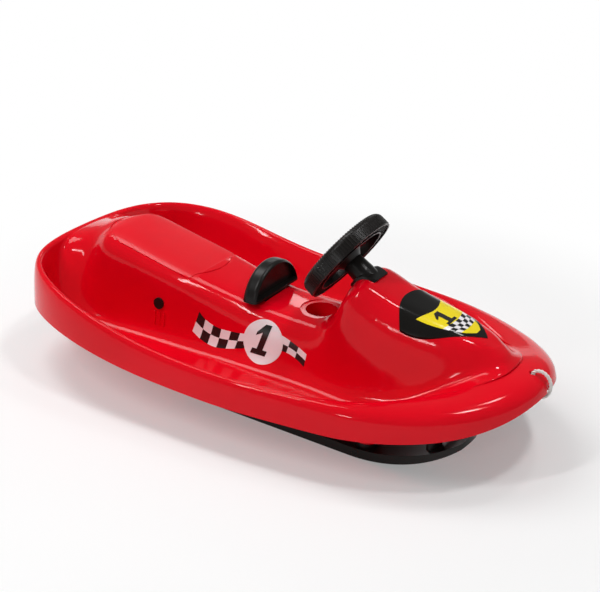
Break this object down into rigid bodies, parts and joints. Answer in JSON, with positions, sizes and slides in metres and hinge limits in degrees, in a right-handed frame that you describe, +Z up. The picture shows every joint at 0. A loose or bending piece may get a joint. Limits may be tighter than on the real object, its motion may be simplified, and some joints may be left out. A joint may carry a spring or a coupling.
{
  "type": "steering sled",
  "caption": "Moulded child's snow sled with a steering wheel that turns the front skis, a pull-up claw brake, footwells, a cup recess and a tow loop at the nose.",
  "frame": {"origin": "bottom centre of the sled, on the ground between the runners", "axes": "+X towards the nose, +Y to the driver's left, +Z up"},
  "size_m": [0.9638, 0.5356, 0.3433],
  "materials": {
    "red_plastic": "gloss moulded",
    "black_plastic": "satin moulded",
    "shield_film": "gloss film",
    "steel": "zinc plated",
    "rope": "braided"
  },
  "bodies": {
    "tub": {"tub": "red_plastic", "windshield_panel": "shield_film", "column_collar": "black_plastic", "column_sleeve": "black_plastic", "column_bracket": "black_plastic", "kingpins": "steel", "kingpin_washers": "steel", "kingpin_nuts": "steel", "brake_axle": "steel", "axle_plugs": "black_plastic", "tow_rope": "rope", "rope_knot": "rope"},
    "steering": {"steering_wheel": "black_plastic", "hub_cap": "black_plastic", "steering_column": "steel", "column_clip": "steel"},
    "left_ski": {"left_ski": "black_plastic", "left_tie_pin": "steel"},
    "right_ski": {"right_ski": "black_plastic", "right_tie_pin": "steel"},
    "tie_rod": {"tie_rod": "black_plastic"},
    "brake": {"brake_lever": "black_plastic", "brake_handle": "black_plastic", "brake_claws": "steel", "claw_screws": "steel"}
  },
  "joints": [
    {"name": "wheel_turn", "type": "hinge", "parent": "tub", "child": "steering", "pos_m": [0.113, 0, 0.27], "axis": [-0.8192, 0, 0.5736], "range_deg": [-30, 30]},
    {"name": "left_ski_turn", "type": "hinge", "parent": "tub", "child": "left_ski", "pos_m": [0.24, 0.127, 0.02], "axis": [0, 0, 1], "range_deg": [-10.6, 10.6]},
    {"name": "right_ski_turn", "type": "hinge", "parent": "tub", "child": "right_ski", "pos_m": [0.24, -0.127, 0.02], "axis": [0, 0, 1], "range_deg": [-10.6, 10.6]},
    {"name": "tie_rod_turn", "type": "hinge", "parent": "right_ski", "child": "tie_rod", "pos_m": [0.355, -0.127, 0.068], "axis": [0, 0, 1], "range_deg": [-10.6, 10.6]},
    {"name": "brake_pull", "type": "hinge", "parent": "tub", "child": "brake", "pos_m": [-0.217, 0, 0.128], "axis": [0, -1, 0], "range_deg": [0, 22]}
  ],
  "couplings": [
    {"joint": "left_ski_turn", "follows": "wheel_turn", "ratio": 0.351},
    {"joint": "right_ski_turn", "follows": "wheel_turn", "ratio": 0.351},
    {"joint": "tie_rod_turn", "follows": "wheel_turn", "ratio": -0.351}
  ]
}
